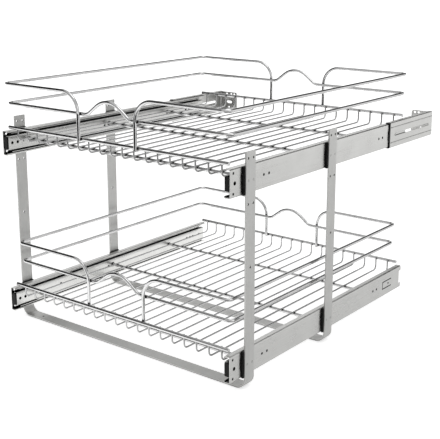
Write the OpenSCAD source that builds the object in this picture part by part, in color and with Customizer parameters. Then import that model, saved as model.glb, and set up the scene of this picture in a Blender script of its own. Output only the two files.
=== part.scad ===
// Two-tier pull-out wire basket unit for a base cabinet.
// Two U-shaped strap frames stand on the cabinet floor and carry four
// three-member ball-bearing slides. Each pair of slides carries one wire basket.
// Millimetres. +X right, +Y towards the cabinet's back, +Z up.
// The origin is on the floor, under the middle of the whole unit.

/* [Unit] */
// Clear width between the inner faces of a pair of slides
clear_w = 494; // [340:1:620]
// Height of the lower slides' bottom edge above the floor
lower_slide_z = 20.5; // [20:0.5:40]
// Height from the lower slides to the upper slides
tier_pitch = 299; // [240:1:420]

/* [Strap frames] */
// Width of the flat strap
strap_w = 24; // [18:0.5:32]
// Thickness of the flat strap
strap_t = 2.5; // [1.5:0.1:4]
// Outside radius of the bend from the floor run to an upright
strap_bend_r = 18; // [12:0.5:20]
// Height of an upright above the upper slides' top edge
upright_above = 22; // [18:0.5:40]
// Distance from the slides' front ends to the front strap's centre line
front_strap_y = 44; // [40:1:70]
// Distance from the slides' front ends to the rear strap's centre line
rear_strap_y = 281; // [200:1:330]
// Distance of a floor screw hole from the strap's outer face
floor_hole_in = 43.5; // [30:0.5:70]
// Diameter of the screw holes in the straps
strap_hole_d = 4; // [3:0.1:6]
// Distance between the two holes of a pair
hole_pair_gap = 13; // [10:0.5:14]
// Height of the upper spare holes above the upper slides' centre line
spare_pair_up = 34.5; // [30:0.5:36]
// Height of the lower spare holes below the upper slides' centre line
spare_pair_down = 37; // [30:0.5:50]
// Height of the single hole below the upper slides' centre line
single_hole_down = 139; // [90:1:160]

/* [Slides] */
// Length of a slide
slide_len = 559; // [460:1:620]
// Height of a slide
slide_h = 45; // [44:0.5:52]
// Thickness of a slide, from its outer face to its inner face
slide_t = 12.7; // [12.5:0.1:14]
// Sheet thickness of the outer and inner members
sheet = 1.2; // [1:0.05:1.4]
// Sheet thickness of the middle member
mid_sheet = 1.1; // [0.9:0.05:1.2]
// Diameter of the bearing balls
ball_d = 3; // [2.4:0.1:3.4]
// Number of balls in each race
balls_per_race = 8; // [5:1:12]
// Length of a ball cage
cage_len = 250; // [180:1:252]
// Sheet thickness of a ball cage
cage_t = 0.6; // [0.4:0.05:0.8]
// Length that a slide's upper and lower race stand past its web at the rear
race_overhang = 7; // [3:0.5:12]
// Length of the front bumper block
bumper_len = 11.5; // [8:0.5:14]
// Distance that a basket pulls out
travel = 540; // [380:1:556]

/* [Slide mounting] */
// Thickness of the black spacer pad between a slide and a strap
spacer_t = 3.3; // [2.6:0.1:6]
// Distance that the pad stands out in front of the strap
pad_front = 2.5; // [0:0.5:6]
// Height of the pad's nose, which stands out further
nose_h = 22; // [16:0.5:30]
// Distance that the nose stands out in front of the pad
nose_len = 1; // [0.5:0.5:5]
// Diameter of the rivets
rivet_d = 4; // [3:0.1:5]
// Height of a rivet's inner head
rivet_head_h = 0.7; // [0.4:0.05:0.8]
// Diameter of a rivet's inner head
rivet_head_d = 7; // [6:0.1:9]

/* [Rear brackets] */
// Length of a bracket along its slide
bracket_len = 180; // [150:1:200]
// Sheet thickness of a bracket
bracket_t = 1.5; // [1:0.1:1.8]
// Clearance between a bracket and its slide
bracket_gap = 0.4; // [0.3:0.05:0.6]
// Length that a bracket's lips reach over the slide's edges
bracket_lip = 7; // [4:0.5:9]
// Inside radius of the bend between a bracket's plate and its flange
bracket_bend_r = 3; // [2:0.5:14]
// Length of the black trim on a bracket's front edge
trim_len = 3; // [2:0.5:5]
// Length of the flange, measured from the bracket's outer face
flange_len = 47; // [40:1:60]
// Distance of the right flange's rear face behind the slides' front ends
right_flange_y = 674.5; // [660:0.5:680]
// Distance that the left bracket is set forward of the right one
left_bracket_forward = 29; // [0:1:40]
// Width of the long slot
slot_w = 5.4; // [5:0.1:8]
// Length of the long slot
slot_len = 145; // [100:1:150]
// Distance from the flange's rear face to the slot's rear end
slot_from_flange = 18; // [18:0.5:26]
// Diameter of the flange's round screw holes
flange_hole_d = 5; // [3:0.1:6]

/* [Basket wires] */
// Diameter of the frame wires: rails, rims and cross bars
wire_d = 6; // [4:0.1:7]
// Diameter of the floor wires
floor_d = 3; // [2:0.1:4]
// Number of floor wires
floor_n = 19; // [11:2:23]
// Distance between neighbouring floor wires
floor_pitch = 25.9; // [18:0.1:26]
// Depth that two welded wires sink into each other
weld_sink = 0.2; // [0.1:0.05:0.3]
// Height of the cross bars' centres above the slides' centre line
bar_rise = 1.3; // [0:0.1:4]
// Distance from the slides' front ends to the front cross bar
front_bar_y = 51; // [40:1:80]
// Distance from the slides' front ends to the middle cross bar
middle_bar_y = 260; // [200:1:300]
// Distance from the slides' front ends to the rear cross bar
rear_bar_y = 438; // [380:1:445]
// Distance of the front rim behind the slides' front ends
rim_front_y = 9.4; // [8:0.1:20]
// Distance of the rear rim ahead of the slides' rear ends
rim_rear_in = -4; // [-6:0.5:20]
// Length that a rim stands past the slides' inner faces
rim_over = 3.5; // [0:0.5:8]
// Height of the rims above the floor wires
rim_rise = 23.3; // [22:0.1:40]
// Centre-line radius of the floor wires' bends
floor_bend_r = 8; // [5:0.5:12]

/* [Basket rails] */
// Height of the middle rail above the floor wires
middle_rail_rise = 66.7; // [50:0.1:90]
// Height of the top rail above the floor wires
top_rail_rise = 103; // [95:0.5:180]
// Distance of the upper basket's side rails outside the slides' inner faces
upper_rail_out = 5.2; // [0:0.1:8]
// Distance of the lower basket's side rails inside the slides' inner faces
lower_rail_in = 0.9; // [0:0.1:10]
// Centre-line radius of the rails' corners
rail_corner_r = 10; // [8:0.5:20]
// Distance of a post from the basket's middle
post_x = 65; // [60:0.5:80]
// Centre-line radius of the bend from the top rail to a post
post_bend_r = 36; // [20:1:60]
// Height of the hand hump in the middle rail
hump_h = 25; // [16:1:28]
// Centre-line radius of the hump's crown
hump_crown_r = 44; // [20:4:48]
// Centre-line radius of the hump's feet
hump_foot_r = 21; // [9:3:24]

/* [Hidden] */
$fn = 48;
// Running clearance between a ball and its races, and between sheet members
ball_gap = 0.3;
member_gap = 0.6;
// Radial clearance of a rivet in its hole
pin_gap = 0.1;
// Small overrun that lets a cut pass clean through a face
cut = 1;
// Length that a rivet's shank runs on into its head
shank_run = 0.1;

// Places across the unit
inner_x = clear_w / 2;
outer_x = inner_x + slide_t;
strap_in_x = outer_x + spacer_t;
strap_out_x = strap_in_x + strap_t;

// Places up the unit
upper_slide_z = lower_slide_z + tier_pitch;
upright_top = upper_slide_z + slide_h + upright_above;
TIER_Z = [upper_slide_z, lower_slide_z];

// The unit's middle in depth: everything is drawn from the slides' front ends
// and then set back by this
mid_y = right_flange_y / 2;
left_flange_y = right_flange_y - left_bracket_forward;

// Corner radii of a slide's sections
outer_corner_r = 2.5;
mid_corner_r = 1.4;
inner_corner_r = 1.6;
bumper_corner_r = 1.5;

// Heights inside a slide, measured up and down from its centre line
lip_clear = 1.5;
h_outer_in = slide_h / 2 - sheet;
h_outer_ball = h_outer_in - ball_gap - ball_d / 2;
h_mid_out = h_outer_ball - ball_d / 2 - ball_gap;
h_mid_in = h_mid_out - mid_sheet;
h_inner_ball = h_mid_in - ball_gap - ball_d / 2;
h_inner_out = h_inner_ball - ball_d / 2 - ball_gap;
h_inner_in = h_inner_out - sheet;
h_lip = h_mid_out + lip_clear;
h_bumper = h_inner_in - ball_gap;

// Depths inside a slide, measured inwards from its outer face
web_gap = 0.5;
mid_edge_in = 1.1;
lip_in = 0.5;
race_flange = 3;
ball_out = 0.2;
outer_cage_in = 0.8;
inner_cage_out = 0.2;
u_head = sheet + rivet_head_h;
u_outer_cage = u_head + ball_gap;
u_mid_web = u_outer_cage + cage_t + member_gap;
u_inner_cage = u_mid_web + mid_sheet + web_gap;
u_inner_flange = u_inner_cage + cage_t + member_gap;
u_inner_web = slide_t - sheet;
u_mid_edge = u_inner_web - mid_edge_in;
u_lip_in = u_inner_web - lip_in;
u_lip_out = u_lip_in + sheet;
u_ball = (u_inner_flange + u_mid_edge) / 2 - ball_out;
u_bumper = u_inner_web - ball_gap;

// Places along a slide
bumper_in = 0.5;
inner_front_in = 2.5;
mid_rear_in = 7;
cage_clear = 8;
mid_front = bumper_len + bumper_in;
mid_rear = slide_len - mid_rear_in;
cage_front = travel / 4 + mid_front + cage_clear;
web_hole_y = 11;
web_hole_d = 6.4;
end_hole_y = 7.4;
end_hole_z = 16;
end_hole_d = 4.4;
front_pair_y = 93;
rear_pair_in = 98.5;
rear_pair_y = slide_len - rear_pair_in;
screw_pair_gap = 14;
screw_hole_d = 4.6;
tongue_in = 68;
tongue_y = slide_len - tongue_in;
tongue_len = 35;
tongue_h = 16;
tongue_slot = 2;
guide_in_tongue = 23.3;
guide_y = tongue_y + guide_in_tongue;
// Inner member's holes: from its front end, and from its rear end
INNER_FRONT_HOLES = [web_hole_y, 23.5, 114, 247];
INNER_REAR_HOLES = [59, 48, 38, 16];
inner_hole_d = 5.8;
pilot_hole_y = 37;
pilot_hole_d = 3;

// Ball cages and balls
ball_fn = 24;
cage_strip = 0.8;
cage_end = 10;
cage_window_d = 14;
cage_hole_clear = 0.5;
cage_hole_d = ball_d + cage_hole_clear;
ball_pitch = (cage_len - 2 * cage_end) / (balls_per_race - 1);
first_ball_y = cage_front + cage_end;

// Brackets
bracket_in_u = -bracket_gap;
bracket_out_u = bracket_in_u - bracket_t;
bracket_in_h = slide_h / 2 + bracket_gap;
bracket_h = bracket_in_h + bracket_t;
bracket_corner_r = 2;
rib_z = 14.5;
rib_r = 0.9;
rib_in = 4;
trim_nose_h = 18;
trim_nose_len = 1.5;
flange_h = bracket_h - bracket_corner_r;
flange_corner_r = 5;
// Depths of the flange's upper holes from the slide's outer face, and heights
FLANGE_U = [17, 29.5, 38];
flange_screw_z = 18;
flange_slot_u = 19.5;
flange_slot_len = 9;
flange_slot_h = 6;
flange_slot_z = -0.6;
flange_low_u = 23;
flange_low_z = -12.8;

// Basket places
weld_frame = wire_d - weld_sink;
weld_floor = (wire_d + floor_d) / 2 - weld_sink;
rim_rear_y = slide_len - rim_rear_in;
post_bottom_drop = 3;
upper_rail_x = inner_x + upper_rail_out;
lower_rail_x = inner_x - lower_rail_in;
// The hump's flanks climb 3 for every 4 along, so its points are round numbers
hump_rise = 3;
hump_run = 4;
hump_peak = hump_h + hump_crown_r * (norm([hump_run, hump_rise]) / hump_run - 1);
hump_half = hump_peak * hump_run / hump_rise;
FLOOR_X = [for (i = [0 : floor_n - 1]) (i - (floor_n - 1) / 2) * floor_pitch];
BAR_Y = [front_bar_y, middle_bar_y, rear_bar_y];

// ---------------------------------------------------------------- wire shapes

function unit(v) = v / norm(v);

// A straight round wire from one point to another
module straight_wire(a, b, d) {
    v = b - a;
    translate(a)
        rotate([0, acos(v.z / norm(v)), atan2(v.y, v.x)])
            cylinder(h = norm(v), d = d);
}

// A round bend that leaves `from` and reaches `to` round the corner at `at`
module wire_bend(from, at, to, r, d) {
    u1 = unit(from - at);
    u2 = unit(to - at);
    turn = 180 - acos(u1 * u2);
    centre = at + unit(u1 + u2) * r / cos(turn / 2);
    e1 = unit(at + u1 * r * tan(turn / 2) - centre);
    n = unit(cross(e1, at + u2 * r * tan(turn / 2) - centre));
    e2 = cross(n, e1);
    multmatrix([
        [e1.x, e2.x, n.x, centre.x],
        [e1.y, e2.y, n.y, centre.y],
        [e1.z, e2.z, n.z, centre.z],
        [0, 0, 0, 1]
    ])
        rotate_extrude(angle = turn)
            translate([r, 0])
                circle(d = d);
}

// Length that a bend of radius r takes off each leg at a corner
function bend_leg(from, at, to, r) =
    r * tan((180 - acos(unit(from - at) * unit(to - at))) / 2);

// An open wire through points, with its own bend radius at each inner point
module open_wire(points, radii, d) {
    last = len(points) - 1;
    for (i = [0 : last - 1]) {
        a = points[i];
        b = points[i + 1];
        start = i == 0 ? a : a + unit(b - a) * bend_leg(points[i - 1], a, b, radii[i]);
        stop = i == last - 1 ? b
            : b + unit(a - b) * bend_leg(a, b, points[i + 2], radii[i + 1]);
        straight_wire(start, stop, d);
        if (i < last - 1) wire_bend(a, b, points[i + 2], radii[i + 1], d);
    }
}

// A closed wire through points
module closed_wire(points, radii, d) {
    count = len(points);
    for (i = [0 : count - 1]) {
        before = points[(i + count - 1) % count];
        a = points[i];
        b = points[(i + 1) % count];
        after = points[(i + 2) % count];
        start = a + unit(b - a) * bend_leg(before, a, b, radii[i]);
        stop = b + unit(a - b) * bend_leg(a, b, after, radii[(i + 1) % count]);
        straight_wire(start, stop, d);
        wire_bend(a, b, after, radii[(i + 1) % count], d);
    }
}

// ------------------------------------------------------------- shared helpers

// Sets children, drawn from the slides' front ends, to the unit's middle
module in_unit() {
    translate([0, -mid_y, 0]) children();
}

// Children are drawn with +X inwards from a slide's outer face and Z from its
// centre line. side is -1 for the left slide and 1 for the right one.
module at_slide(side, slide_z) {
    in_unit()
        translate([side * outer_x, 0, slide_z + slide_h / 2])
            mirror([side > 0 ? 1 : 0, 0, 0])
                children();
}

// A flat section, drawn as depth and height, run along the slide
module along_slide(y0, y1) {
    translate([0, y1, 0])
        rotate([90, 0, 0])
            linear_extrude(height = y1 - y0)
                children();
}

// A hole through a sheet that faces sideways
module side_hole(y, z, d, u0, u1) {
    translate([u0 - cut, y, z])
        rotate([0, 90, 0])
            cylinder(h = u1 - u0 + 2 * cut, d = d);
}

// A rectangle with round corners, from its lower left and upper right corners
module round_rect(x0, z0, x1, z1, r) {
    translate([x0 + r, z0]) square([x1 - x0 - 2 * r, z1 - z0]);
    translate([x0, z0 + r]) square([x1 - x0, z1 - z0 - 2 * r]);
    for (x = [x0 + r, x1 - r], z = [z0 + r, z1 - r])
        translate([x, z]) circle(r = r);
}

// --------------------------------------------------------------- strap frames

// One U-shaped strap: floor run, two round bends and two uprights
module frame_strap(centre_y) {
    outer_r = strap_bend_r;
    inner_r = strap_bend_r - strap_t;
    in_unit()
        translate([0, centre_y + strap_w / 2, 0])
            difference() {
                rotate([90, 0, 0])
                    linear_extrude(height = strap_w)
                        for (side = [-1, 1]) {
                            translate([side > 0 ? 0 : -(strap_out_x - outer_r), 0])
                                square([strap_out_x - outer_r, strap_t]);
                            translate([side > 0 ? strap_in_x : -strap_out_x, outer_r])
                                square([strap_t, upright_top - outer_r]);
                            difference() {
                                translate([side * (strap_out_x - outer_r), outer_r])
                                    circle(r = outer_r);
                                translate([side * (strap_out_x - outer_r), outer_r])
                                    circle(r = inner_r);
                                translate([-strap_out_x, outer_r])
                                    square([2 * strap_out_x, outer_r + cut]);
                                translate([-(strap_out_x - outer_r), -cut])
                                    square([2 * (strap_out_x - outer_r), 2 * outer_r + 3 * cut]);
                            }
                        }
                // floor screw holes
                for (side = [-1, 1])
                    translate([side * (strap_out_x - floor_hole_in), -strap_w / 2, -cut])
                        cylinder(h = strap_t + 2 * cut, d = strap_hole_d);
                // rivet holes, spare pairs and the single hole in each upright
                for (side = [-1, 1]) {
                    for (dy = [-1, 1] * hole_pair_gap / 2) {
                        for (z = TIER_Z)
                            upright_hole(side, dy, z + slide_h / 2, rivet_d + 2 * pin_gap);
                        for (dz = [-spare_pair_down, spare_pair_up])
                            upright_hole(side, dy, upper_slide_z + slide_h / 2 + dz, strap_hole_d);
                    }
                    upright_hole(side, 0, upper_slide_z + slide_h / 2 - single_hole_down, strap_hole_d);
                }
            }
}

// A hole through an upright, measured from the strap's centre line
module upright_hole(side, dy, z, d) {
    translate([side * (strap_in_x + strap_t / 2), -strap_w / 2 + dy, z])
        rotate([0, 90, 0])
            cylinder(h = strap_t + 2 * cut, d = d, center = true);
}

module front_frame_strap() { color([0.72, 0.72, 0.7]) frame_strap(front_strap_y); }
module rear_frame_strap() { color([0.72, 0.72, 0.7]) frame_strap(rear_strap_y); }

// A spacer pad's outline, drawn as depth and height from the strap's centre
module spacer_outline() {
    front = -strap_w / 2 - pad_front;
    polygon([
        [strap_w / 2, -slide_h / 2], [strap_w / 2, slide_h / 2], [front, slide_h / 2],
        [front, nose_h / 2], [front - nose_len, nose_h / 2 - nose_len],
        [front - nose_len, nose_len - nose_h / 2], [front, -nose_h / 2],
        [front, -slide_h / 2]
    ]);
}

// Black plastic pads that hold each slide off the strap
module slide_spacers() {
    color([0.07, 0.07, 0.08])
        for (side = [-1, 1], z = TIER_Z, y = [front_strap_y, rear_strap_y])
            at_slide(side, z)
                difference() {
                    translate([-spacer_t, y, 0])
                        rotate([90, 0, 90])
                            linear_extrude(height = spacer_t)
                                spacer_outline();
                    for (dy = [-1, 1] * hole_pair_gap / 2)
                        side_hole(y + dy, 0, rivet_d + 2 * pin_gap, -spacer_t, 0);
                }
}

// Rivets through the slide's web, the spacer and the strap
module slide_rivets() {
    color([0.75, 0.75, 0.74])
        for (side = [-1, 1], z = TIER_Z, y = [front_strap_y, rear_strap_y],
             dy = [-1, 1] * hole_pair_gap / 2)
            at_slide(side, z)
                translate([0, y + dy, 0])
                    rotate([0, 90, 0]) {
                        translate([0, 0, -spacer_t - strap_t + pin_gap])
                            cylinder(h = spacer_t + strap_t - pin_gap + sheet + shank_run, d = rivet_d);
                        translate([0, 0, sheet])
                            cylinder(h = rivet_head_h, d = rivet_head_d);
                    }
}

// --------------------------------------------------------------------- slides

// The outer member's section: a round-cornered channel, open inwards
module outer_section() {
    difference() {
        round_rect(0, -slide_h / 2, u_lip_out, slide_h / 2, outer_corner_r);
        round_rect(sheet, -h_outer_in, u_lip_in, h_outer_in, outer_corner_r - sheet);
        translate([u_lip_in - cut, -h_lip])
            square([sheet + 2 * cut, 2 * h_lip]);
    }
}

// The outer member, fixed to the straps, with its pierced holes
module outer_member(side, slide_z) {
    color([0.78, 0.78, 0.77])
        at_slide(side, slide_z)
            difference() {
                along_slide(0, slide_len + race_overhang)
                    outer_section();
                // the web is cut back between the races at the rear
                translate([-cut, slide_len, -h_inner_out])
                    cube([sheet + 2 * cut, race_overhang + cut, 2 * h_inner_out]);
                // rivet holes
                for (y = [front_strap_y, rear_strap_y], dy = [-1, 1] * hole_pair_gap / 2)
                    side_hole(y + dy, 0, rivet_d + 2 * pin_gap, 0, sheet);
                // factory holes near the front end
                side_hole(web_hole_y, 0, web_hole_d, 0, sheet);
                for (z = [-1, 1] * end_hole_z)
                    side_hole(end_hole_y, z, end_hole_d, 0, sheet);
                // two pairs of screw holes
                for (y = [front_pair_y, rear_pair_y], dy = [-1, 1] * screw_pair_gap / 2)
                    side_hole(y + dy, 0, screw_hole_d, 0, sheet);
                // a punched tongue with a guide hole
                for (z = [-tongue_h / 2, tongue_h / 2 - tongue_slot])
                    translate([-cut, tongue_y, z])
                        cube([sheet + 2 * cut, tongue_len, tongue_slot]);
                translate([-cut, tongue_y, -tongue_h / 2])
                    cube([sheet + 2 * cut, tongue_slot, tongue_h]);
                side_hole(guide_y, 0, rivet_d + 2 * pin_gap, 0, sheet);
            }
}

// The middle member's section: a channel that carries both rows of balls
module middle_section() {
    difference() {
        round_rect(u_mid_web, -h_mid_out, u_mid_edge + race_flange, h_mid_out, mid_corner_r);
        translate([u_mid_web + mid_sheet, -h_mid_in])
            square([u_mid_edge + cut, 2 * h_mid_in]);
        translate([u_mid_edge, -slide_h / 2])
            square([slide_t, slide_h]);
    }
}

module middle_member(side, slide_z) {
    color([0.76, 0.76, 0.75])
        at_slide(side, slide_z)
            along_slide(mid_front, mid_rear)
                middle_section();
}

// The inner member's section: a smaller channel that faces the outer member
module inner_section() {
    difference() {
        round_rect(u_inner_flange - race_flange, -h_inner_out, slide_t, h_inner_out,
                   inner_corner_r);
        translate([u_inner_flange - race_flange - cut, -h_inner_in])
            square([u_inner_web - u_inner_flange + race_flange + cut, 2 * h_inner_in]);
        translate([u_inner_flange - race_flange - cut, -slide_h / 2])
            square([race_flange + cut, slide_h]);
    }
}

module inner_member(side, slide_z) {
    color([0.78, 0.78, 0.77])
        at_slide(side, slide_z)
            difference() {
                along_slide(inner_front_in, slide_len)
                    inner_section();
                for (y = INNER_FRONT_HOLES)
                    side_hole(y, 0, inner_hole_d, u_inner_web, slide_t);
                for (y = INNER_REAR_HOLES)
                    side_hole(slide_len - y, 0, inner_hole_d, u_inner_web, slide_t);
                side_hole(pilot_hole_y, 0, pilot_hole_d, u_inner_web, slide_t);
            }
}

// Black blocks on the front ends of the middle members
module front_bumpers(slide_z) {
    color([0.06, 0.06, 0.07])
        for (side = [-1, 1])
            at_slide(side, slide_z)
                translate([0, mid_front, 0])
                    rotate([90, 0, 0])
                        linear_extrude(height = bumper_len)
                            round_rect(u_head, -h_bumper, u_bumper, h_bumper, bumper_corner_r);
}

// A ball cage: a web with an upper and a lower strip, pierced for the balls
module ball_cage(u_web, u_edge, h_ball) {
    difference() {
        union() {
            translate([u_web, cage_front, -h_ball])
                cube([cage_t, cage_len, 2 * h_ball]);
            for (z = [-h_ball, h_ball])
                translate([u_web, cage_front, z - cage_strip / 2])
                    cube([u_edge - u_web, cage_len, cage_strip]);
        }
        for (i = [0 : balls_per_race - 1], z = [-h_ball, h_ball])
            translate([u_ball, first_ball_y + i * ball_pitch, z - cage_strip])
                cylinder(h = 2 * cage_strip, d = cage_hole_d);
        // windows that lighten the web
        for (i = [0 : balls_per_race - 2])
            side_hole(first_ball_y + (i + 0.5) * ball_pitch, 0, cage_window_d,
                      u_web, u_web + cage_t);
    }
}

module outer_ball_cages(slide_z) {
    color([0.12, 0.12, 0.13])
        for (side = [-1, 1])
            at_slide(side, slide_z)
                ball_cage(u_outer_cage, u_lip_in - outer_cage_in, h_outer_ball);
}

module inner_ball_cages(slide_z) {
    color([0.12, 0.12, 0.13])
        for (side = [-1, 1])
            at_slide(side, slide_z)
                ball_cage(u_inner_cage, u_mid_edge + inner_cage_out, h_inner_ball);
}

// The balls of one pair of slides, in the upper and lower race
module balls(slide_z, h_ball) {
    color([0.85, 0.85, 0.86])
        for (side = [-1, 1])
            at_slide(side, slide_z)
                for (i = [0 : balls_per_race - 1], s = [-1, 1])
                    translate([u_ball, first_ball_y + i * ball_pitch, s * h_ball])
                        sphere(d = ball_d, $fn = ball_fn);
}

// -------------------------------------------------------------- rear brackets

// The plate's section: a shallow channel that wraps the slide's outer side
module bracket_section() {
    difference() {
        round_rect(bracket_out_u, -bracket_h, 2 * bracket_lip, bracket_h, bracket_corner_r);
        translate([bracket_in_u, -bracket_in_h])
            square([2 * bracket_lip + cut, 2 * bracket_in_h]);
        translate([bracket_lip, -slide_h])
            square([bracket_lip + cut, 2 * slide_h]);
    }
}

// An L-shaped bracket: a lipped plate round the slide's rear end, and a flange
// that is screwed to the cabinet's back
module rear_bracket(side, flange_y) {
    front = flange_y - bracket_len;
    plate_rear = flange_y - bracket_t - bracket_bend_r;
    bend_u = bracket_in_u + bracket_bend_r;
    slot_half = (slot_len - slot_w) / 2;
    slot_mid_y = flange_y - slot_from_flange - slot_len / 2;
    color([0.77, 0.77, 0.76])
        at_slide(side, upper_slide_z)
            difference() {
                union() {
                    along_slide(front, plate_rear)
                        bracket_section();
                    // raised ribs along the plate
                    for (z = [-rib_z, rib_z])
                        translate([bracket_out_u, front + rib_in, z])
                            rotate([-90, 0, 0])
                                cylinder(h = plate_rear - front - rib_in, r = rib_r);
                    bracket_bend(bend_u, plate_rear);
                    translate([bend_u, flange_y, 0])
                        rotate([90, 0, 0])
                            linear_extrude(height = bracket_t)
                                flange_outline(bracket_out_u + flange_len - bend_u);
                }
                // long adjusting slot
                for (dy = [-slot_half, slot_half])
                    side_hole(slot_mid_y + dy, 0, slot_w, bracket_out_u - cut, bracket_in_u);
                translate([bracket_out_u - 2 * cut, slot_mid_y - slot_half, -slot_w / 2])
                    cube([bracket_t + 3 * cut, 2 * slot_half, slot_w]);
                // flange holes: three above, a short slot, two below
                for (u = FLANGE_U)
                    flange_hole(u, flange_screw_z, flange_hole_d, flange_y);
                for (u = [flange_slot_u, flange_slot_u + flange_slot_len])
                    flange_hole(u, flange_slot_z, flange_slot_h, flange_y);
                translate([flange_slot_u, flange_y - bracket_t - cut, flange_slot_z - flange_slot_h / 2])
                    cube([flange_slot_len, bracket_t + 2 * cut, flange_slot_h]);
                flange_hole(flange_low_u, flange_low_z, flange_hole_d, flange_y);
                flange_hole(FLANGE_U[0], -flange_screw_z, flange_hole_d, flange_y);
            }
}

// The quarter bend from a bracket's plate to its flange
module bracket_bend(u, y) {
    translate([u, y, -flange_h])
        difference() {
            cylinder(h = 2 * flange_h, r = bracket_bend_r + bracket_t);
            translate([0, 0, -cut])
                cylinder(h = 2 * bracket_h, r = bracket_bend_r);
            translate([0, -bracket_h, -cut])
                cube([bracket_h, 2 * bracket_h, 3 * bracket_h]);
            translate([-bracket_h, -bracket_h, -cut])
                cube([2 * bracket_h, bracket_h, 3 * bracket_h]);
        }
}

// The flange, rounded at its free end
module flange_outline(length) {
    r = flange_corner_r;
    translate([0, -flange_h]) square([length - r, 2 * flange_h]);
    translate([0, r - flange_h]) square([length, 2 * (flange_h - r)]);
    for (z = [r - flange_h, flange_h - r])
        translate([length - r, z]) circle(r = r);
}

module flange_hole(u, z, d, flange_y) {
    translate([u, flange_y + cut, z])
        rotate([90, 0, 0])
            cylinder(h = bracket_t + 2 * cut, d = d);
}

// Black plastic trim on a bracket's front edge, with a low nose at mid height
module bracket_trim(side, flange_y) {
    front = flange_y - bracket_len;
    color([0.07, 0.07, 0.08])
        at_slide(side, upper_slide_z) {
            along_slide(front - trim_len, front)
                bracket_section();
            translate([bracket_out_u, front - trim_len - trim_nose_len, -trim_nose_h / 2])
                cube([bracket_t, trim_nose_len + trim_len / 2, trim_nose_h]);
        }
}

// Low rivets that guide the brackets' slots
module bracket_guide_rivets() {
    color([0.75, 0.75, 0.74])
        for (side = [-1, 1])
            at_slide(side, upper_slide_z)
                translate([0, guide_y, 0])
                    rotate([0, 90, 0]) {
                        translate([0, 0, bracket_out_u])
                            cylinder(h = sheet - bracket_out_u + shank_run, d = rivet_d);
                        translate([0, 0, sheet])
                            cylinder(h = rivet_head_h, d = rivet_head_d);
                    }
}

// -------------------------------------------------------------------- baskets

// Height of a basket's floor wires above the cabinet floor
function floor_z(slide_z) = slide_z + slide_h / 2 + bar_rise + weld_floor;

module chrome() {
    color([0.86, 0.87, 0.88]) in_unit() children();
}

// Three bars across the basket, welded end-on to the inner members
module cross_bars(slide_z) {
    z = slide_z + slide_h / 2 + bar_rise;
    chrome()
        for (y = BAR_Y)
            straight_wire([-inner_x, y, z], [inner_x, y, z], wire_d);
}

// Thin wires that run front to back on the cross bars and turn up to the rims
module floor_wires(slide_z) {
    z = floor_z(slide_z);
    top = z + rim_rise + floor_d / 2;
    y0 = rim_front_y + weld_floor;
    y1 = rim_rear_y - weld_floor;
    chrome()
        for (x = FLOOR_X)
            open_wire([[x, y0, top], [x, y0, z], [x, y1, z], [x, y1, top]],
                      [0, floor_bend_r, floor_bend_r, 0], floor_d);
}

// A straight rim wire above the slides, at the front or the rear
module rim(slide_z, y) {
    x = inner_x + rim_over;
    z = floor_z(slide_z) + rim_rise;
    chrome() straight_wire([-x, y, z], [x, y, z], wire_d);
}

// Places of the front and rear posts: outside the rims or inside them
function posts_front(outside) = rim_front_y + (outside ? -1 : 1) * weld_frame;
function posts_rear(outside) = rim_rear_y + (outside ? 1 : -1) * weld_frame;

// Half of the top rail: post, front run, side run, rear run and rear post
module top_rail(slide_z, side, rail_x, outside) {
    z = floor_z(slide_z) + top_rail_rise;
    low = floor_z(slide_z) + rim_rise - post_bottom_drop;
    y0 = posts_front(outside);
    y1 = posts_rear(outside);
    chrome()
        open_wire([
            [side * post_x, y0, low], [side * post_x, y0, z],
            [side * rail_x, y0, z], [side * rail_x, y1, z],
            [side * post_x, y1, z], [side * post_x, y1, low]
        ], [0, post_bend_r, rail_corner_r, rail_corner_r, post_bend_r, 0], wire_d);
}

// The middle rail: a loop inside the posts, with a hand hump front and rear
module middle_rail(slide_z, rail_x, outside) {
    z = floor_z(slide_z) + middle_rail_rise;
    y0 = posts_front(outside) + weld_frame;
    y1 = posts_rear(outside) - weld_frame;
    corners = [
        [-rail_x, y0, z], [-hump_half, y0, z], [0, y0, z + hump_peak], [hump_half, y0, z],
        [rail_x, y0, z], [rail_x, y1, z], [hump_half, y1, z], [0, y1, z + hump_peak],
        [-hump_half, y1, z], [-rail_x, y1, z]
    ];
    chrome()
        closed_wire(corners, [
            rail_corner_r, hump_foot_r, hump_crown_r, hump_foot_r, rail_corner_r,
            rail_corner_r, hump_foot_r, hump_crown_r, hump_foot_r, rail_corner_r
        ], wire_d);
}

// ---------------------------------------------------------------------- nodes

front_frame_strap();
rear_frame_strap();
slide_spacers();
slide_rivets();
outer_member(-1, upper_slide_z);  // upper_left_outer_member
outer_member(1, upper_slide_z);  // upper_right_outer_member
outer_member(-1, lower_slide_z);  // lower_left_outer_member
outer_member(1, lower_slide_z);  // lower_right_outer_member
rear_bracket(-1, left_flange_y);  // left_rear_bracket
rear_bracket(1, right_flange_y);  // right_rear_bracket
bracket_guide_rivets();
bracket_trim(-1, left_flange_y);  // left_bracket_trim
bracket_trim(1, right_flange_y);  // right_bracket_trim
middle_member(-1, upper_slide_z);  // upper_left_middle_member
middle_member(1, upper_slide_z);  // upper_right_middle_member
middle_member(-1, lower_slide_z);  // lower_left_middle_member
middle_member(1, lower_slide_z);  // lower_right_middle_member
front_bumpers(upper_slide_z);  // upper_front_bumpers
front_bumpers(lower_slide_z);  // lower_front_bumpers
outer_ball_cages(upper_slide_z);  // upper_outer_ball_cages
balls(upper_slide_z, h_outer_ball);  // upper_outer_balls
inner_ball_cages(upper_slide_z);  // upper_inner_ball_cages
balls(upper_slide_z, h_inner_ball);  // upper_inner_balls
outer_ball_cages(lower_slide_z);  // lower_outer_ball_cages
balls(lower_slide_z, h_outer_ball);  // lower_outer_balls
inner_ball_cages(lower_slide_z);  // lower_inner_ball_cages
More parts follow.
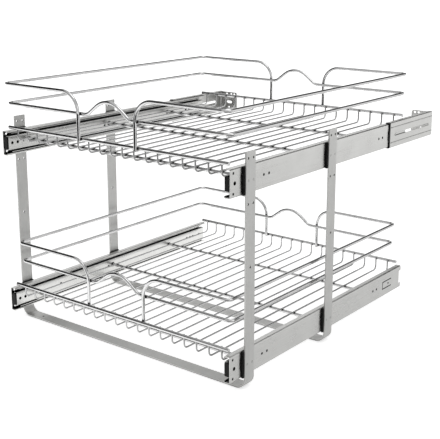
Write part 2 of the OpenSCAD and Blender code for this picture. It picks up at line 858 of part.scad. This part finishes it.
balls(lower_slide_z, h_inner_ball);  // lower_inner_balls
inner_member(-1, upper_slide_z);  // upper_left_inner_member
inner_member(1, upper_slide_z);  // upper_right_inner_member
floor_wires(upper_slide_z);  // upper_floor_wires
cross_bars(upper_slide_z);  // upper_cross_bars
rim(upper_slide_z, rim_front_y);  // upper_front_rim
rim(upper_slide_z, rim_rear_y);  // upper_rear_rim
middle_rail(upper_slide_z, upper_rail_x, true);  // upper_middle_rail
top_rail(upper_slide_z, -1, upper_rail_x, true);  // upper_left_top_rail
top_rail(upper_slide_z, 1, upper_rail_x, true);  // upper_right_top_rail
inner_member(-1, lower_slide_z);  // lower_left_inner_member
inner_member(1, lower_slide_z);  // lower_right_inner_member
floor_wires(lower_slide_z);  // lower_floor_wires
cross_bars(lower_slide_z);  // lower_cross_bars
rim(lower_slide_z, rim_front_y);  // lower_front_rim
rim(lower_slide_z, rim_rear_y);  // lower_rear_rim
middle_rail(lower_slide_z, lower_rail_x, false);  // lower_middle_rail
top_rail(lower_slide_z, -1, lower_rail_x, false);  // lower_left_top_rail
top_rail(lower_slide_z, 1, lower_rail_x, false);  // lower_right_top_rail
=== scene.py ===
# A two-tier pull-out wire basket unit for a base cabinet. The CAD solids carry every
# rigid part; this script gives them their finishes, adds the welds that hold the
# wires together, and sets up the studio. Metres, in the frame of the CAD.
import math

import bpy
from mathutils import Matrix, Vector


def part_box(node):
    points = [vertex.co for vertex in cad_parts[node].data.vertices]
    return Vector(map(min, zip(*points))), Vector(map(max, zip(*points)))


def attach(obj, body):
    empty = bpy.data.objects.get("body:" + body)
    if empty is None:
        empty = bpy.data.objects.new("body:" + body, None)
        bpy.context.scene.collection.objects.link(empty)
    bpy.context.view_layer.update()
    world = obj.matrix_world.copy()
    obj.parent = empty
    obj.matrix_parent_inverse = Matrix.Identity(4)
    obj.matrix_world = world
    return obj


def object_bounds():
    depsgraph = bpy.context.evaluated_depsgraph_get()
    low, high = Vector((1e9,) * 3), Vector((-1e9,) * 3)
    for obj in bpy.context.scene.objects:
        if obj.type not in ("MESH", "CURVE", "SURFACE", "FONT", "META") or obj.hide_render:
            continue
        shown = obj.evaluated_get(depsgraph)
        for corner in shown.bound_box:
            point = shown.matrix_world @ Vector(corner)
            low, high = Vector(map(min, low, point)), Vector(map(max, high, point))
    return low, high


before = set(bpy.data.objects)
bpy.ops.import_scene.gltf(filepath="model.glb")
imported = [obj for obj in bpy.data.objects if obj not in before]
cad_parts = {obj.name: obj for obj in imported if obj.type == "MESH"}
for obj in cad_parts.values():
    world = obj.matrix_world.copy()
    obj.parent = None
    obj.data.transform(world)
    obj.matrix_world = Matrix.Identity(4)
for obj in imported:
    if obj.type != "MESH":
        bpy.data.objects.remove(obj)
cad_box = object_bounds()
mm = 0.001


# ---------------------------------------------------------------- strap frames
# Two U-shaped frames of flat mild-steel strap, each bent cold from one strip and
# nickel plated to a satin grey that blurs what it mirrors. The strip was rolled
# lengthways, so faint lines follow it up the uprights and along the floor run.

def linear(code):
    """Turns an sRGB hex colour into the linear RGBA that a socket takes."""
    channels = [int(code[i:i + 2], 16) / 255 for i in (1, 3, 5)]
    return [c / 12.92 if c <= 0.04045 else ((c + 0.055) / 1.055) ** 2.4 for c in channels] + [1]


def add(tree, kind, settings, sockets):
    """Adds a node with its settings. Each socket takes a value, or a link from another socket."""
    node = tree.nodes.new(kind)
    for name, value in settings.items():
        setattr(node, name, value)
    for name, value in sockets.items():
        if isinstance(value, bpy.types.NodeSocket):
            tree.links.new(value, node.inputs[name])
        else:
            node.inputs[name].default_value = value
    return node


def plated_sheet(name, pale, deep, shade_colour, depth, roughness, line_width, line_run, cloud,
                 metallic=1.0):
    """Plated steel sheet: cloudy plate over rolling lines, which run where line_run is small.
    The fourth colour is painted within depth of another face: painted shade in corners and gaps.
    Real rolling lines are too fine to show, so line_width is drawn wider than theirs."""
    cloud_share = 0.55
    ramp_start, ramp_end = 0.36, 0.64
    shaded_openness, lit_openness = 0.36, 0.86
    line_depth = 0.01 * mm
    material = bpy.data.materials.new(name)
    material.use_nodes = True
    tree = material.node_tree
    tree.nodes.clear()
    place = add(tree, "ShaderNodeTexCoord", {}, {}).outputs["Object"]
    along = add(tree, "ShaderNodeMapping", {}, {"Vector": place, "Scale": line_run})
    lines = add(tree, "ShaderNodeTexNoise", {},
                {"Vector": along.outputs[0], "Scale": 1 / line_width, "Detail": 3, "Roughness": 0.6})
    clouds = add(tree, "ShaderNodeTexNoise", {},
                 {"Vector": place, "Scale": 1 / cloud, "Detail": 4, "Roughness": 0.55})
    blend = add(tree, "ShaderNodeMix", {"data_type": "FLOAT"},
                {"Factor": cloud_share, "A": lines.outputs[0], "B": clouds.outputs[0]})
    colour = add(tree, "ShaderNodeValToRGB", {}, {"Fac": blend.outputs[0]})
    colour.color_ramp.elements[0].position = ramp_start
    colour.color_ramp.elements[0].color = linear(deep)
    colour.color_ramp.elements[1].position = ramp_end
    colour.color_ramp.elements[1].color = linear(pale)
    # Painted shade: faces within depth of another face are darkened towards the fourth colour
    openness = add(tree, "ShaderNodeAmbientOcclusion", {"samples": 16}, {"Distance": depth})
    unshaded = add(tree, "ShaderNodeMapRange", {"interpolation_type": "SMOOTHSTEP"},
                {"Value": openness.outputs["AO"],
                 "From Min": shaded_openness, "From Max": lit_openness})
    painted_shade_mix = add(tree, "ShaderNodeMix", {"data_type": "RGBA"},
                 {"Factor": unshaded.outputs[0], 6: linear(shade_colour), 7: colour.outputs[0]})
    gloss = add(tree, "ShaderNodeMapRange", {},
                {"Value": blend.outputs[0], "From Min": 0.3, "From Max": 0.7,
                 "To Min": roughness[0], "To Max": roughness[1]})
    relief = add(tree, "ShaderNodeBump", {},
                 {"Height": lines.outputs[0], "Strength": 0.2, "Distance": line_depth})
    shader = add(tree, "ShaderNodeBsdfPrincipled", {},
                 {"Base Color": painted_shade_mix.outputs[2], "Metallic": metallic,
                  "Roughness": gloss.outputs[0], "Normal": relief.outputs[0]})
    add(tree, "ShaderNodeOutputMaterial", {}, {"Surface": shader.outputs[0]})
    return material


def give(material, names):
    """Puts a finish on CAD nodes."""
    for name in names:
        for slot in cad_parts[name].material_slots:
            slot.material = material


# The pattern changes only across the strip's width (Y), so its lines run up the uprights
# and along the floor
# Its fourth colour is painted shade near other faces
satin_nickel_strap = plated_sheet(
    "satin_nickel_plated_strap", "#c7c7c5", "#bcbcba", "#2c2c2a", 5 * mm, (0.30, 0.42),
    line_width=1.6 * mm, line_run=(0.02, 1.0, 0.02), cloud=28 * mm, metallic=0.6)
give(satin_nickel_strap, ["front_frame_strap", "rear_frame_strap"])


# ---------------------------------------------------------------------- slides
# Full-extension ball-bearing slides, roll-formed from cold-rolled strip and bright
# zinc plated, which mirrors the room dimly. Rolling leaves long, very fine lines
# from end to end. The corners of the channels are painted near black: painted shade.

TIERS = ["upper", "lower"]
SIDES = ["left", "right"]
bright_zinc_slide = plated_sheet(
    "bright_zinc_rolled_slide", "#cdcdcb", "#c2c2c0", "#080808", 14 * mm, (0.24, 0.34),
    line_width=1.4 * mm, line_run=(1.0, 0.01, 1.0), cloud=45 * mm)
give(bright_zinc_slide, [f"{tier}_{side}_{part}_member" for tier in TIERS for side in SIDES
                         for part in ("outer", "middle", "inner")])

# Ball cages are stamped from thin strip and phosphated, which leaves them dark and
# matt. The balls are polished steel.
# Its fourth colour is painted shade near other faces
phosphated_cage = plated_sheet(
    "phosphated_cage_strip", "#242527", "#18191a", "#0c0c0d", 6 * mm, (0.42, 0.58),
    line_width=0.9 * mm, line_run=(1.0, 0.2, 1.0), cloud=6 * mm, metallic=0.7)
give(phosphated_cage, [f"{tier}_{row}_ball_cages" for tier in TIERS for row in ("outer", "inner")])
# Its fourth colour is painted shade near other faces
polished_ball = plated_sheet(
    "polished_bearing_steel", "#dcdee1", "#ccd0d4", "#5a5c5f", 3 * mm, (0.05, 0.09),
    line_width=0.5 * mm, line_run=(1.0, 1.0, 1.0), cloud=1.5 * mm)
give(polished_ball, [f"{tier}_{row}_balls" for tier in TIERS for row in ("outer", "inner")])


# ------------------------------------------------------- pads, bumpers and trim
# Glass-filled nylon mouldings: the pads that hold the slides off the straps and the
# bumpers in the slides' front ends. The pads' full-height webs and the trims on the
# brackets' front edges are black pieces set in the dark gaps beside the slides: painted shade.
# The mould was spark-eroded, which leaves a fine even grain and a low sheen.

def moulded_nylon(name, pale, deep, grain):
    """Black moulded nylon with an eroded surface, whose pits are grain wide."""
    flow_width = 12 * mm
    pit_depth = 0.03 * mm
    material = bpy.data.materials.new(name)
    material.use_nodes = True
    tree = material.node_tree
    tree.nodes.clear()
    place = add(tree, "ShaderNodeTexCoord", {}, {}).outputs["Object"]
    pits = add(tree, "ShaderNodeTexNoise", {}, {"Vector": place, "Scale": 1 / grain, "Detail": 2})
    flow = add(tree, "ShaderNodeTexNoise", {}, {"Vector": place, "Scale": 1 / flow_width, "Detail": 3})
    colour = add(tree, "ShaderNodeValToRGB", {}, {"Fac": flow.outputs[0]})
    colour.color_ramp.elements[0].position = 0.35
    colour.color_ramp.elements[0].color = linear(deep)
    colour.color_ramp.elements[1].position = 0.65
    colour.color_ramp.elements[1].color = linear(pale)
    gloss = add(tree, "ShaderNodeMapRange", {},
                {"Value": pits.outputs[0], "From Min": 0.3, "From Max": 0.7,
                 "To Min": 0.42, "To Max": 0.58})
    relief = add(tree, "ShaderNodeBump", {},
                 {"Height": pits.outputs[0], "Strength": 0.4, "Distance": pit_depth})
    shader = add(tree, "ShaderNodeBsdfPrincipled", {},
                 {"Base Color": colour.outputs[0], "Roughness": gloss.outputs[0],
                  "IOR": 1.52, "Specular IOR Level": 0.2, "Normal": relief.outputs[0]})
    add(tree, "ShaderNodeOutputMaterial", {}, {"Surface": shader.outputs[0]})
    return material


# Black for the real mouldings, and painted shade in the pads' webs and the bracket trims
black_nylon = moulded_nylon("black_moulded_nylon", "#0a0a0b", "#060606", grain=0.5 * mm)
give(black_nylon, ["slide_spacers", "left_bracket_trim", "right_bracket_trim",
                   "upper_front_bumpers", "lower_front_bumpers"])


# ---------------------------------------------------------------------- rivets
# Cold-headed steel rivets, zinc plated before they are set, so the plate is slightly
# duller and finer in grain than on the rolled slides.

# Its fourth colour is painted shade near other faces
set_zinc_rivet = plated_sheet(
    "zinc_plated_rivet", "#b4b4b2", "#a4a4a2", "#3a3a38", 2 * mm, (0.30, 0.45),
    line_width=0.7 * mm, line_run=(1.0, 1.0, 1.0), cloud=3 * mm)
give(set_zinc_rivet, ["slide_rivets", "bracket_guide_rivets"])


# -------------------------------------------------------------- rear brackets
# Pressed from sheet that is zinc plated after forming, with two stiffening ribs.
# The coat is a little duller and more finely clouded than on the slides.

# Its fourth colour is painted shade near other faces
pressed_zinc_bracket = plated_sheet(
    "zinc_plated_pressed_bracket", "#c9c9c7", "#bfbfbd", "#2a2a2a", 9 * mm, (0.28, 0.40),
    line_width=1.8 * mm, line_run=(1.0, 0.015, 1.0), cloud=20 * mm)
give(pressed_zinc_bracket, ["left_rear_bracket", "right_rear_bracket"])


# -------------------------------------------------------------------- baskets
# Cold-drawn round wire, cut and bent, spot welded and then bright chrome plated as
# one basket. Drawing leaves the wire faintly uneven, and the plate keeps that.

def chromed_wire(name, pale, deep, shade_colour, depth, roughness, wave):
    """Chrome over drawn wire, with waves that are wave long and a haze six times as long.
    The fourth colour is painted within depth of another wire: painted shade where wires meet."""
    wave_depth = 0.05 * mm
    shaded_wire_openness, lit_wire_openness = 0.55, 0.93
    material = bpy.data.materials.new(name)
    material.use_nodes = True
    tree = material.node_tree
    tree.nodes.clear()
    place = add(tree, "ShaderNodeTexCoord", {}, {}).outputs["Object"]
    waves = add(tree, "ShaderNodeTexNoise", {}, {"Vector": place, "Scale": 1 / wave, "Detail": 2})
    haze = add(tree, "ShaderNodeTexNoise", {}, {"Vector": place, "Scale": 1 / (6 * wave), "Detail": 4})
    colour = add(tree, "ShaderNodeValToRGB", {}, {"Fac": haze.outputs[0]})
    colour.color_ramp.elements[0].position = 0.35
    colour.color_ramp.elements[0].color = linear(deep)
    colour.color_ramp.elements[1].position = 0.65
    colour.color_ramp.elements[1].color = linear(pale)
    gloss = add(tree, "ShaderNodeMapRange", {},
                {"Value": haze.outputs[0], "From Min": 0.3, "From Max": 0.7,
                 "To Min": roughness[0], "To Max": roughness[1]})
    relief = add(tree, "ShaderNodeBump", {},
                 {"Height": waves.outputs[0], "Strength": 0.25, "Distance": wave_depth})
    # Painted shade: wire within depth of another wire is darkened towards the fourth colour
    openness = add(tree, "ShaderNodeAmbientOcclusion", {"samples": 16}, {"Distance": depth})
    unshaded = add(tree, "ShaderNodeMapRange", {"interpolation_type": "SMOOTHSTEP"},
                {"Value": openness.outputs["AO"],
                 "From Min": shaded_wire_openness, "From Max": lit_wire_openness})
    plated = add(tree, "ShaderNodeMix", {"data_type": "RGBA"},
                 {"Factor": unshaded.outputs[0], 6: linear(shade_colour), 7: colour.outputs[0]})
    shader = add(tree, "ShaderNodeBsdfPrincipled", {},
                 {"Base Color": plated.outputs[2], "Metallic": 1.0,
                  "Roughness": gloss.outputs[0], "Normal": relief.outputs[0]})
    add(tree, "ShaderNodeOutputMaterial", {}, {"Surface": shader.outputs[0]})
    return material


# The thick wires are a near-mirror chrome
bright_chrome_wire = chromed_wire(
    "bright_chrome_drawn_wire", "#cfcfcf", "#c2c2c2", "#0c0c0c", 5 * mm, (0.06, 0.11), wave=5 * mm)
FRAME_WIRES = ["cross_bars", "front_rim", "rear_rim", "middle_rail", "left_top_rail", "right_top_rail"]
give(bright_chrome_wire, [f"{tier}_{wire}" for tier in TIERS for wire in FRAME_WIRES])
# The floor wires take a greyer, rougher copy of the same chrome; its grey is painted shade for their dimmer
# reflections
floor_wire_shaded_chrome = chromed_wire(
    "shaded_chrome_floor_wire", "#b9b9b9", "#adadad", "#0c0c0c", 5 * mm, (0.20, 0.28), wave=4 * mm)
give(floor_wire_shaded_chrome, [f"{tier}_floor_wires" for tier in TIERS])


# ------------------------------------------------------------------------ welds
# Every crossing of two wires is a resistance weld: the wires are squeezed together hot,
# and a little steel is pressed out round them. The ends of the cross bars have a fillet
# of arc weld where they meet the slides. All of it is coloured near black: painted shade
# for the dark spots of shade and reflection where the wires meet.

def weld_tree(name):
    """Geometry nodes that set an uneven nugget on every point of a mesh."""
    tree = bpy.data.node_groups.new(name, "GeometryNodeTree")
    face = tree.interface
    face.new_socket("Crossings", in_out="INPUT", socket_type="NodeSocketGeometry")
    face.new_socket("Half Size", in_out="INPUT", socket_type="NodeSocketVector")
    face.new_socket("Unevenness", in_out="INPUT", socket_type="NodeSocketFloat")
    face.new_socket("Seed", in_out="INPUT", socket_type="NodeSocketInt")
    face.new_socket("Finish", in_out="INPUT", socket_type="NodeSocketMaterial")
    face.new_socket("Welds", in_out="OUTPUT", socket_type="NodeSocketGeometry")
    given = add(tree, "NodeGroupInput", {}, {}).outputs
    ball = add(tree, "GeometryNodeMeshIcoSphere", {}, {"Radius": 1.0, "Subdivisions": 2})
    smallest = (0.85, 0.85, 0.85)
    largest = (1.15, 1.15, 1.15)
    size = add(tree, "FunctionNodeRandomValue", {"data_type": "FLOAT_VECTOR"},
               {0: smallest, 1: largest, "Seed": given["Seed"]})
    scale = add(tree, "ShaderNodeVectorMath", {"operation": "MULTIPLY"},
                {0: given["Half Size"], 1: size.outputs[0]})
    spread = add(tree, "GeometryNodeInstanceOnPoints", {},
                 {"Points": given["Crossings"], "Instance": ball.outputs["Mesh"],
                  "Scale": scale.outputs[0]})
    real = add(tree, "GeometryNodeRealizeInstances", {}, {"Geometry": spread.outputs[0]})
    lump_width = 2 * mm
    lumps = add(tree, "ShaderNodeTexNoise", {}, {"Scale": 1 / lump_width, "Detail": 1})
    centred = add(tree, "ShaderNodeMath", {"operation": "SUBTRACT"}, {0: lumps.outputs[0], 1: 0.5})
    push = add(tree, "ShaderNodeMath", {"operation": "MULTIPLY"},
               {0: centred.outputs[0], 1: given["Unevenness"]})
    outwards = add(tree, "GeometryNodeInputNormal", {}, {})
    offset = add(tree, "ShaderNodeVectorMath", {"operation": "SCALE"},
                 {0: outwards.outputs[0], "Scale": push.outputs[0]})
    lumpy = add(tree, "GeometryNodeSetPosition", {},
                {"Geometry": real.outputs[0], "Offset": offset.outputs[0]})
    smooth = add(tree, "GeometryNodeSetShadeSmooth", {}, {"Geometry": lumpy.outputs[0]})
    finished = add(tree, "GeometryNodeSetMaterial", {},
                   {"Geometry": smooth.outputs[0], "Material": given["Finish"]})
    add(tree, "NodeGroupOutput", {}, {"Welds": finished.outputs[0]})
    return tree


def weld(name, body, places, half_size, seed):
    """Makes one mesh of weld nuggets at the places given, riding on a basket.
    The seed sets how each nugget's size differs from the half size given."""
    points = bpy.data.meshes.new(name)
    points.from_pydata(places, [], [])
    piece = bpy.data.objects.new(name, points)
    bpy.context.scene.collection.objects.link(piece)
    modifier = piece.modifiers.new("welds", "NODES")
    modifier.node_group = nugget_tree
    inputs = {item.name: item.identifier for item in nugget_tree.interface.items_tree
              if item.in_out == "INPUT"}
    modifier[inputs["Half Size"]] = half_size
    modifier[inputs["Unevenness"]] = 0.5 * mm
    modifier[inputs["Seed"]] = seed
    modifier[inputs["Finish"]] = weld_painted_shade
    evaluated = bpy.context.evaluated_depsgraph_get()
    piece.data = bpy.data.meshes.new_from_object(piece.evaluated_get(evaluated), depsgraph=evaluated)
    piece.modifiers.clear()
    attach(piece, body)


nugget_tree = weld_tree("resistance_weld")
# The welds' near-black colour is painted shade
weld_painted_shade = chromed_wire(
    "near_black_shaded_weld", "#565656", "#3e3e3e", "#060606", 5 * mm, (0.22, 0.36), wave=2 * mm)
floor_wire_count = 19
floor_wire_radius = 1.5 * mm
frame_wire_radius = 3.0 * mm
middle_bar_back = 209 * mm   # behind the front cross bar
fillet_in = 0.5 * mm         # from a cross bar's end
floor_nugget = (2.3 * mm, 1.7 * mm, 0.9 * mm)
bar_fillet = (1.2 * mm, 4.2 * mm, 4.2 * mm)
rim_nugget = (2.2 * mm, 0.9 * mm, 1.8 * mm)
post_nugget = (2.8 * mm, 1.3 * mm, 2.8 * mm)
for number, tier in enumerate(TIERS):
    basket = f"{tier}_basket"
    floor_low, floor_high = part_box(f"{tier}_floor_wires")
    bars_low, bars_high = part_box(f"{tier}_cross_bars")
    first_x = floor_low.x + floor_wire_radius
    pitch = (floor_high.x - floor_low.x - 2 * floor_wire_radius) / (floor_wire_count - 1)
    wire_x = [first_x + i * pitch for i in range(floor_wire_count)]
    front_bar = bars_low.y + frame_wire_radius
    bar_y = [front_bar, front_bar + middle_bar_back, bars_high.y - frame_wire_radius]
    bar_z = (bars_low.z + bars_high.z) / 2
    weld(f"{tier}_floor_welds", basket, [(x, y, bars_high.z) for x in wire_x for y in bar_y],
         floor_nugget, seed=number)
    bar_ends = (bars_low.x + fillet_in, bars_high.x - fillet_in)
    weld(f"{tier}_cross_bar_fillets", basket, [(x, y, bar_z) for x in bar_ends for y in bar_y],
         bar_fillet, seed=20 + number)
    # Floor wires and posts are welded to the rims, and posts to the middle rail
    rail_low, rail_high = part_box(f"{tier}_right_top_rail")
    middle_low, middle_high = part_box(f"{tier}_middle_rail")
    post_x = rail_low.x + frame_wire_radius
    middle_z = middle_low.z + frame_wire_radius
    rim_contacts = []
    post_contacts = []
    for rim, inwards, post_y, middle_y in (("front", 1, rail_low.y, middle_low.y),
                                           ("rear", -1, rail_high.y, middle_high.y)):
        low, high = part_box(f"{tier}_{rim}_rim")
        rim_y = (low.y + high.y) / 2
        rim_z = (low.z + high.z) / 2
        post_y += inwards * frame_wire_radius
        middle_y += inwards * frame_wire_radius
        rim_contacts += [(x, rim_y + inwards * frame_wire_radius, rim_z) for x in wire_x]
        post_contacts += [(x, (post_y + rim_y) / 2, rim_z) for x in (-post_x, post_x)]
        post_contacts += [(x, (post_y + middle_y) / 2, middle_z) for x in (-post_x, post_x)]
    weld(f"{tier}_rim_welds", basket, rim_contacts, rim_nugget, seed=10 + number)
    weld(f"{tier}_post_welds", basket, post_contacts, post_nugget, seed=30 + number)


# ----------------------------------------------------------------------- studio
# A sweep of white paper. To the camera it is white and keeps a soft shadow under the
# unit. In reflections it is white at the unit's left and grey at its right.

floor_reach = 30.0
floor_z = -0.5 * mm
floor_mesh = bpy.data.meshes.new("studio_floor")
floor_mesh.from_pydata([(-floor_reach, -floor_reach, floor_z), (floor_reach, -floor_reach, floor_z),
                        (floor_reach, floor_reach, floor_z), (-floor_reach, floor_reach, floor_z)],
                       [], [(0, 1, 2, 3)])
studio_floor = bpy.data.objects.new("studio_floor", floor_mesh)
bpy.context.scene.collection.objects.link(studio_floor)
white_paper = bpy.data.materials.new("white_paper_sweep")
white_paper.use_nodes = True
tree = white_paper.node_tree
tree.nodes.clear()
path = add(tree, "ShaderNodeLightPath", {}, {})
seen = add(tree, "ShaderNodeMath", {"operation": "MAXIMUM"},
           {0: path.outputs["Is Camera Ray"], 1: path.outputs["Is Glossy Ray"]})
seen = add(tree, "ShaderNodeMath", {"operation": "MAXIMUM"},
           {0: seen.outputs[0], 1: path.outputs["Is Transmission Ray"]})
spot = add(tree, "ShaderNodeTexCoord", {}, {}).outputs["Object"]
paper_grain = 2 * mm
grain = add(tree, "ShaderNodeTexNoise", {}, {"Vector": spot, "Scale": 1 / paper_grain})
paper = add(tree, "ShaderNodeMapRange", {}, {"Value": grain.outputs[0], "To Min": 0.78, "To Max": 0.82})
matte = add(tree, "ShaderNodeBsdfDiffuse", {}, {"Color": paper.outputs[0]})
# The lamps fall off away from the unit, so the paper's own white rises with the distance.
# Its reflection makes up for the unit's shadow, and is dimmer at the right of the unit
seen_glow = 0.62
left_glow, right_glow = 0.95, 0.32
reach = add(tree, "ShaderNodeVectorMath", {"operation": "LENGTH"}, {0: spot})
across = add(tree, "ShaderNodeSeparateXYZ", {}, {0: spot})
mirrored = add(tree, "ShaderNodeMapRange", {"interpolation_type": "SMOOTHSTEP"},
               {"Value": across.outputs["X"], "From Min": 0.1, "From Max": 0.28,
                "To Min": left_glow, "To Max": right_glow})
near = add(tree, "ShaderNodeMix", {"data_type": "FLOAT"},
           {"Factor": path.outputs["Is Glossy Ray"], "A": seen_glow, "B": mirrored.outputs[0]})
rise = add(tree, "ShaderNodeMapRange", {"interpolation_type": "SMOOTHSTEP"},
           {"Value": reach.outputs["Value"], "From Min": 0.6, "From Max": 5.0,
            "To Min": near.outputs[0], "To Max": 1.0})
glow = add(tree, "ShaderNodeEmission", {}, {"Color": linear("#ffffff"), "Strength": rise.outputs[0]})
lift = add(tree, "ShaderNodeAddShader", {}, {0: matte.outputs[0], 1: glow.outputs[0]})
shown = add(tree, "ShaderNodeMixShader", {},
            {0: seen.outputs[0], 1: matte.outputs[0], 2: lift.outputs[0]})
add(tree, "ShaderNodeOutputMaterial", {}, {"Surface": shown.outputs[0]})
floor_mesh.materials.append(white_paper)

world = bpy.data.worlds.new("studio_room")
world.use_nodes = True
bpy.context.scene.world = world
tree = world.node_tree
tree.nodes.clear()
path = add(tree, "ShaderNodeLightPath", {}, {})
direction = add(tree, "ShaderNodeTexCoord", {}, {}).outputs["Generated"]
# Reflections see a room that is dark but for its walls, which gives chrome its dark lines:
# a white backdrop behind the unit, a white wall at its right, a pale slanted ceiling and a
# grey wall behind the camera. The last row is a dark gap, which is taken from the backdrop.
# Each row has the way to the wall, the cosines at which it starts and is full, and its tone
ROOM = [((0.0, 1.0, 0.0), 0.38, 0.58, 1.0),
        ((1.0, 0.0, 0.05), 0.86, 0.97, 1.0),
        ((0.35, -0.25, 0.90), 0.42, 0.60, 0.75),
        ((0.2, -0.94, 0.28), 0.58, 0.76, 0.6),
        ((0.0, 0.90, 0.44), 0.88, 0.93, 1.0)]
tones = []
for wall, start, full, tone in ROOM:
    facing = add(tree, "ShaderNodeVectorMath", {"operation": "DOT_PRODUCT"}, {0: direction, 1: wall})
    reached = add(tree, "ShaderNodeMapRange", {"interpolation_type": "SMOOTHSTEP"},
                  {"Value": facing.outputs["Value"], "From Min": start, "From Max": full, "To Max": tone})
    tones.append(reached.outputs[0])
walls = tones[0]
for tone in tones[1:-1]:
    walls = add(tree, "ShaderNodeMath", {"operation": "MAXIMUM"}, {0: walls, 1: tone}).outputs[0]
walls = add(tree, "ShaderNodeMath", {"operation": "SUBTRACT", "use_clamp": True},
            {0: walls, 1: tones[-1]}).outputs[0]
unlit_tone = 0.03
ambient_strength = 0.55
room = add(tree, "ShaderNodeMapRange", {}, {"Value": walls, "To Min": unlit_tone, "To Max": 1.0})
ambient = add(tree, "ShaderNodeBackground", {}, {"Color": linear("#ffffff"), "Strength": ambient_strength})
reflected = add(tree, "ShaderNodeBackground", {}, {"Color": room.outputs[0], "Strength": 1.0})
backdrop = add(tree, "ShaderNodeBackground", {}, {"Color": linear("#ffffff"), "Strength": 1.0})
soft = add(tree, "ShaderNodeMixShader", {},
           {0: path.outputs["Is Glossy Ray"], 1: ambient.outputs[0], 2: reflected.outputs[0]})
clear = add(tree, "ShaderNodeMath", {"operation": "MAXIMUM"},
            {0: path.outputs["Is Camera Ray"], 1: path.outputs["Is Transmission Ray"]})
mixed = add(tree, "ShaderNodeMixShader", {},
            {0: clear.outputs[0], 1: soft.outputs[0], 2: backdrop.outputs[0]})
add(tree, "ShaderNodeOutputWorld", {}, {"Surface": mixed.outputs[0]})


# Cards that only reflections see. A black one stands on the floor behind the camera. It
# gives the posts and the straps' edges, which would mirror the white floor, their dark
# lines. A grey one and a black one lie flat at the front right, for the lower posts.
def felt(name, shade):
    """Matte felt with a fine nap, between three quarters of its shade and the shade."""
    nap_width = 1.5 * mm
    material = bpy.data.materials.new(name)
    material.use_nodes = True
    tree = material.node_tree
    tree.nodes.clear()
    place = add(tree, "ShaderNodeTexCoord", {}, {}).outputs["Object"]
    nap = add(tree, "ShaderNodeTexNoise", {}, {"Vector": place, "Scale": 1 / nap_width})
    depth = add(tree, "ShaderNodeMapRange", {},
                {"Value": nap.outputs[0], "To Min": 0.75 * shade, "To Max": shade})
    cloth = add(tree, "ShaderNodeBsdfDiffuse", {}, {"Color": depth.outputs[0]})
    add(tree, "ShaderNodeOutputMaterial", {}, {"Surface": cloth.outputs[0]})
    return material


black_felt = felt("black_felt_card", 0.02)
grey_felt = felt("grey_felt_card", 0.3)
card_lift = 1 * mm   # keeps the flat black card clear of the grey one under it
CARDS = [("standing_card", black_felt,
          [(-3.0, -1.55, 0.0), (3.0, -1.55, 0.0), (3.0, -1.55, 0.28), (-3.0, -1.55, 0.28)]),
         ("flat_black_card", black_felt,
          [(0.5, -0.8, card_lift), (1.6, -0.8, card_lift), (1.6, -0.1, card_lift), (0.5, -0.1, card_lift)]),
         ("flat_grey_card", grey_felt,
          [(0.2, -1.2, 0.0), (1.0, -1.2, 0.0), (1.0, -0.45, 0.0), (0.2, -0.45, 0.0)])]
for name, finish, corners in CARDS:
    card_mesh = bpy.data.meshes.new(name)
    card_mesh.from_pydata(corners, [], [(0, 1, 2, 3)])
    card_mesh.materials.append(finish)
    card = bpy.data.objects.new(name, card_mesh)
    bpy.context.scene.collection.objects.link(card)
    card.visible_camera = False
    card.visible_shadow = False
    card.visible_diffuse = False


def softbox(name, place, aim, width, height, power):
    """A soft lamp on a stand, aimed at a point."""
    lamp = bpy.data.lights.new(name, "AREA")
    lamp.shape = "RECTANGLE"
    lamp.size = width
    lamp.size_y = height
    lamp.energy = power
    holder = bpy.data.objects.new(name, lamp)
    holder.location = place
    holder.rotation_euler = (Vector(aim) - Vector(place)).to_track_quat("-Z", "Y").to_euler()
    bpy.context.scene.collection.objects.link(holder)


# A large lamp hangs overhead, and a weaker one stands at the unit's right
unit_middle = (cad_box[0] + cad_box[1]) / 2
softbox("overhead_softbox", (0.4, 0.2, 3.0), unit_middle, width=2.2, height=1.6, power=18)
softbox("right_softbox", (3.0, -0.6, 1.4), unit_middle, width=1.6, height=1.6, power=8)


# ----------------------------------------------------------------------- camera
# The camera is fitted to the photograph's parallel edges. It stands at the front
# right, a little above the upper basket, and its frame is shifted down.

image_width = 440
focal_pixels = 941.0
camera_place = (1.0834, -1.4156, 0.6750)
view_turn = math.radians(38.02)
view_drop = math.radians(13.22)
lens_shift = -0.10
camera_data = bpy.data.cameras.new("camera")
camera_data.sensor_width = 36.0
camera_data.lens = camera_data.sensor_width * focal_pixels / image_width
camera_data.shift_y = lens_shift
camera = bpy.data.objects.new("camera", camera_data)
camera.location = camera_place
camera.rotation_euler = (math.pi / 2 - view_drop, 0, view_turn)
bpy.context.scene.collection.objects.link(camera)
bpy.context.scene.camera = camera
bpy.context.scene.view_settings.view_transform = "Standard"
